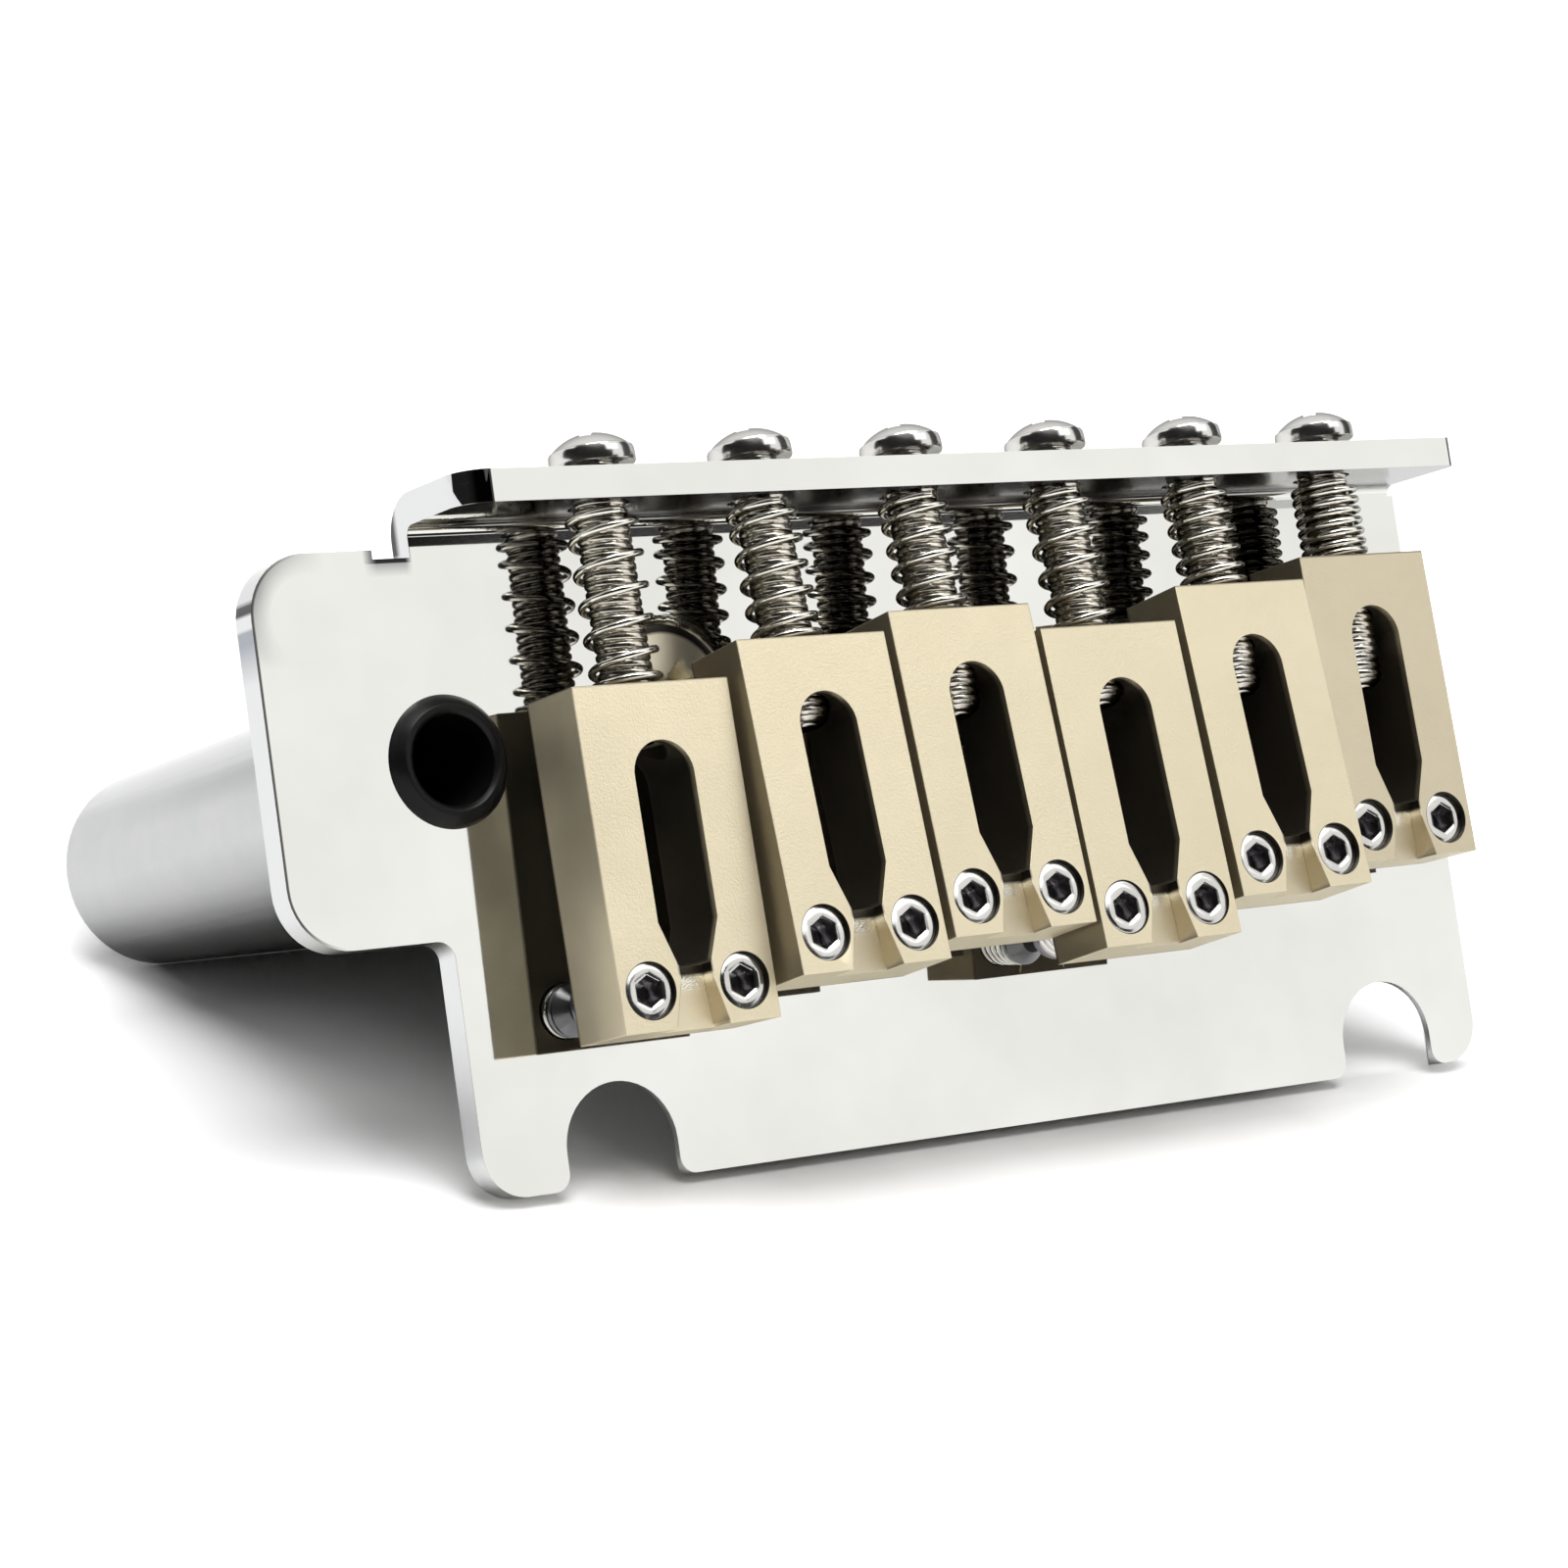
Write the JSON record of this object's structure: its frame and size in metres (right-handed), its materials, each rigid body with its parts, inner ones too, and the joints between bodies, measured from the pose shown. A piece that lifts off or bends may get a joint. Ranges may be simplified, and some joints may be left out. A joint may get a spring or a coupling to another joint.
{
  "type": "guitar tremolo bridge",
  "caption": "Two-stud guitar tremolo bridge: a bent plate with a solid block under it and a row of saddles, each on a sprung screw.",
  "frame": {"origin": "midway between the two pivot studs, on the top face of the plate", "axes": "+X along the plate towards the low string's end, +Y towards the rear lip, +Z out of the plate's top face; the block hangs towards -Z"},
  "size_m": [0.0817, 0.0407, 0.0493],
  "materials": {
    "plate_chrome": "polished plating",
    "block_metal": "satin, bead-blasted",
    "saddle_metal": "satin champagne nickel over brass",
    "screw_nickel": "polished nickel",
    "bushing_plastic": "moulded black nylon"
  },
  "bodies": {
    "bridge": {"baseplate": "plate_chrome", "tremolo_block": "block_metal", "block_mounting_screws": "screw_nickel", "arm_bushing": "bushing_plastic"},
    "carrier_1": {"intonation_spring_1": "screw_nickel"},
    "saddle_1": {"saddle_1": "saddle_metal"},
    "intonation_screw_1": {"intonation_screw_1": "screw_nickel"},
    "height_screw_1_high": {"height_screw_1_high": "screw_nickel"},
    "height_screw_1_low": {"height_screw_1_low": "screw_nickel"},
    "carrier_2": {"intonation_spring_2": "screw_nickel"},
    "saddle_2": {"saddle_2": "saddle_metal"},
    "intonation_screw_2": {"intonation_screw_2": "screw_nickel"},
    "height_screw_2_high": {"height_screw_2_high": "screw_nickel"},
    "height_screw_2_low": {"height_screw_2_low": "screw_nickel"},
    "carrier_3": {"intonation_spring_3": "screw_nickel"},
    "saddle_3": {"saddle_3": "saddle_metal"},
    "intonation_screw_3": {"intonation_screw_3": "screw_nickel"},
    "height_screw_3_high": {"height_screw_3_high": "screw_nickel"},
    "height_screw_3_low": {"height_screw_3_low": "screw_nickel"},
    "carrier_4": {"intonation_spring_4": "screw_nickel"},
    "saddle_4": {"saddle_4": "saddle_metal"},
    "intonation_screw_4": {"intonation_screw_4": "screw_nickel"},
    "height_screw_4_high": {"height_screw_4_high": "screw_nickel"},
    "height_screw_4_low": {"height_screw_4_low": "screw_nickel"},
    "carrier_5": {"intonation_spring_5": "screw_nickel"},
    "saddle_5": {"saddle_5": "saddle_metal"},
    "intonation_screw_5": {"intonation_screw_5": "screw_nickel"},
    "height_screw_5_high": {"height_screw_5_high": "screw_nickel"},
    "height_screw_5_low": {"height_screw_5_low": "screw_nickel"},
    "carrier_6": {"intonation_spring_6": "screw_nickel"},
    "saddle_6": {"saddle_6": "saddle_metal"},
    "intonation_screw_6": {"intonation_screw_6": "screw_nickel"},
    "height_screw_6_high": {"height_screw_6_high": "screw_nickel"},
    "height_screw_6_low": {"height_screw_6_low": "screw_nickel"}
  },
  "joints": [
    {"name": "saddle_1_tilt", "type": "hinge", "parent": "bridge", "child": "carrier_1", "pos_m": [-0.02625, 0.0355, 0.0037], "axis": [-1, 0, 0], "range_deg": [-1.4, 6]},
    {"name": "saddle_1_slide", "type": "slide", "parent": "carrier_1", "child": "saddle_1", "axis": [0, -0.9994, 0.0349], "range_m": [-0.0056, 0.0005], "deforming": ["intonation_spring_1"]},
    {"name": "intonation_screw_1_turn", "type": "hinge", "parent": "carrier_1", "child": "intonation_screw_1", "pos_m": [-0.02625, 0.0355, 0.0037], "axis": [0, -0.9994, 0.0349], "range_deg": [-362, 4034]},
    {"name": "height_screw_1_high_travel", "type": "slide", "parent": "saddle_1", "child": "height_screw_1_high", "axis": [0, -0.0349, -0.9994], "range_m": [-0.0007, 0.00292]},
    {"name": "height_screw_1_low_travel", "type": "slide", "parent": "saddle_1", "child": "height_screw_1_low", "axis": [0, -0.0349, -0.9994], "range_m": [-0.0007, 0.00292]},
    {"name": "saddle_2_tilt", "type": "hinge", "parent": "bridge", "child": "carrier_2", "pos_m": [-0.01575, 0.0355, 0.0037], "axis": [-1, 0, 0], "range_deg": [-5.4, 2]},
    {"name": "saddle_2_slide", "type": "slide", "parent": "carrier_2", "child": "saddle_2", "axis": [0, -0.9945, 0.1045], "range_m": [-0.0039, 0.0022], "deforming": ["intonation_spring_2"]},
    {"name": "intonation_screw_2_turn", "type": "hinge", "parent": "carrier_2", "child": "intonation_screw_2", "pos_m": [-0.01575, 0.0355, 0.0037], "axis": [0, -0.9945, 0.1045], "range_deg": [-1586, 2810]},
    {"name": "height_screw_2_high_travel", "type": "slide", "parent": "saddle_2", "child": "height_screw_2_high", "axis": [0, -0.1045, -0.9945], "range_m": [-0.00247, 0.00093]},
    {"name": "height_screw_2_low_travel", "type": "slide", "parent": "saddle_2", "child": "height_screw_2_low", "axis": [0, -0.1045, -0.9945], "range_m": [-0.00247, 0.00093]},
    {"name": "saddle_3_tilt", "type": "hinge", "parent": "bridge", "child": "carrier_3", "pos_m": [-0.00525, 0.0355, 0.0037], "axis": [-1, 0, 0], "range_deg": [-5.5, 1.9]},
    {"name": "saddle_3_slide", "type": "slide", "parent": "carrier_3", "child": "saddle_3", "axis": [0, -0.9943, 0.1063], "range_m": [-0.0028, 0.0033], "deforming": ["intonation_spring_3"]},
    {"name": "intonation_screw_3_turn", "type": "hinge", "parent": "carrier_3", "child": "intonation_screw_3", "pos_m": [-0.00525, 0.0355, 0.0037], "axis": [0, -0.9943, 0.1063], "range_deg": [-2378, 2018]},
    {"name": "height_screw_3_high_travel", "type": "slide", "parent": "saddle_3", "child": "height_screw_3_high", "axis": [0, -0.1063, -0.9943], "range_m": [-0.00241, 0.00085]},
    {"name": "height_screw_3_low_travel", "type": "slide", "parent": "saddle_3", "child": "height_screw_3_low", "axis": [0, -0.1063, -0.9943], "range_m": [-0.00241, 0.00085]},
    {"name": "saddle_4_tilt", "type": "hinge", "parent": "bridge", "child": "carrier_4", "pos_m": [0.00525, 0.0355, 0.0037], "axis": [-1, 0, 0], "range_deg": [-5, 2.4]},
    {"name": "saddle_4_slide", "type": "slide", "parent": "carrier_4", "child": "saddle_4", "axis": [0, -0.9952, 0.0976], "range_m": [-0.0043, 0.0018], "deforming": ["intonation_spring_4"]},
    {"name": "intonation_screw_4_turn", "type": "hinge", "parent": "carrier_4", "child": "intonation_screw_4", "pos_m": [0.00525, 0.0355, 0.0037], "axis": [0, -0.9952, 0.0976], "range_deg": [-1298, 3098]},
    {"name": "height_screw_4_high_travel", "type": "slide", "parent": "saddle_4", "child": "height_screw_4_high", "axis": [0, -0.0976, -0.9952], "range_m": [-0.00232, 0.00113]},
    {"name": "height_screw_4_low_travel", "type": "slide", "parent": "saddle_4", "child": "height_screw_4_low", "axis": [0, -0.0976, -0.9952], "range_m": [-0.00232, 0.00113]},
    {"name": "saddle_5_tilt", "type": "hinge", "parent": "bridge", "child": "carrier_5", "pos_m": [0.01575, 0.0355, 0.0037], "axis": [-1, 0, 0], "range_deg": [-5.6, 1.8]},
    {"name": "saddle_5_slide", "type": "slide", "parent": "carrier_5", "child": "saddle_5", "axis": [0, -0.9942, 0.108], "range_m": [-0.0023, 0.0038], "deforming": ["intonation_spring_5"]},
    {"name": "intonation_screw_5_turn", "type": "hinge", "parent": "carrier_5", "child": "intonation_screw_5", "pos_m": [0.01575, 0.0355, 0.0037], "axis": [0, -0.9942, 0.108], "range_deg": [-2738, 1658]},
    {"name": "height_screw_5_high_travel", "type": "slide", "parent": "saddle_5", "child": "height_screw_5_high", "axis": [0, -0.108, -0.9942], "range_m": [-0.00241, 0.00079]},
    {"name": "height_screw_5_low_travel", "type": "slide", "parent": "saddle_5", "child": "height_screw_5_low", "axis": [0, -0.108, -0.9942], "range_m": [-0.00241, 0.00079]},
    {"name": "saddle_6_tilt", "type": "hinge", "parent": "bridge", "child": "carrier_6", "pos_m": [0.02625, 0.0355, 0.0037], "axis": [-1, 0, 0], "range_deg": [-1.7, 5.7]},
    {"name": "saddle_6_slide", "type": "slide", "parent": "carrier_6", "child": "saddle_6", "axis": [0, -0.9992, 0.0401], "range_m": [-0.0007, 0.0054], "deforming": ["intonation_spring_6"]},
    {"name": "intonation_screw_6_turn", "type": "hinge", "parent": "carrier_6", "child": "intonation_screw_6", "pos_m": [0.02625, 0.0355, 0.0037], "axis": [0, -0.9992, 0.0401], "range_deg": [-3890, 506]},
    {"name": "height_screw_6_high_travel", "type": "slide", "parent": "saddle_6", "child": "height_screw_6_high", "axis": [0, -0.0401, -0.9992], "range_m": [-0.0007, 0.00229]},
    {"name": "height_screw_6_low_travel", "type": "slide", "parent": "saddle_6", "child": "height_screw_6_low", "axis": [0, -0.0401, -0.9992], "range_m": [-0.0007, 0.00229]}
  ],
  "couplings": [
    {"joint": "intonation_screw_1_turn", "follows": "saddle_1_slide", "rad_per_m": -12566},
    {"joint": "height_screw_1_high_travel", "follows": "saddle_1_tilt", "m_per_rad": 0.0277},
    {"joint": "height_screw_1_low_travel", "follows": "saddle_1_tilt", "m_per_rad": 0.0277},
    {"joint": "intonation_screw_2_turn", "follows": "saddle_2_slide", "rad_per_m": -12566},
    {"joint": "height_screw_2_high_travel", "follows": "saddle_2_tilt", "m_per_rad": 0.026},
    {"joint": "height_screw_2_low_travel", "follows": "saddle_2_tilt", "m_per_rad": 0.026},
    {"joint": "intonation_screw_3_turn", "follows": "saddle_3_slide", "rad_per_m": -12566},
    {"joint": "height_screw_3_high_travel", "follows": "saddle_3_tilt", "m_per_rad": 0.0249},
    {"joint": "height_screw_3_low_travel", "follows": "saddle_3_tilt", "m_per_rad": 0.0249},
    {"joint": "intonation_screw_4_turn", "follows": "saddle_4_slide", "rad_per_m": -12566},
    {"joint": "height_screw_4_high_travel", "follows": "saddle_4_tilt", "m_per_rad": 0.0264},
    {"joint": "height_screw_4_low_travel", "follows": "saddle_4_tilt", "m_per_rad": 0.0264},
    {"joint": "intonation_screw_5_turn", "follows": "saddle_5_slide", "rad_per_m": -12566},
    {"joint": "height_screw_5_high_travel", "follows": "saddle_5_tilt", "m_per_rad": 0.0244},
    {"joint": "height_screw_5_low_travel", "follows": "saddle_5_tilt", "m_per_rad": 0.0244},
    {"joint": "intonation_screw_6_turn", "follows": "saddle_6_slide", "rad_per_m": -12566},
    {"joint": "height_screw_6_high_travel", "follows": "saddle_6_tilt", "m_per_rad": 0.0228},
    {"joint": "height_screw_6_low_travel", "follows": "saddle_6_tilt", "m_per_rad": 0.0228}
  ]
}
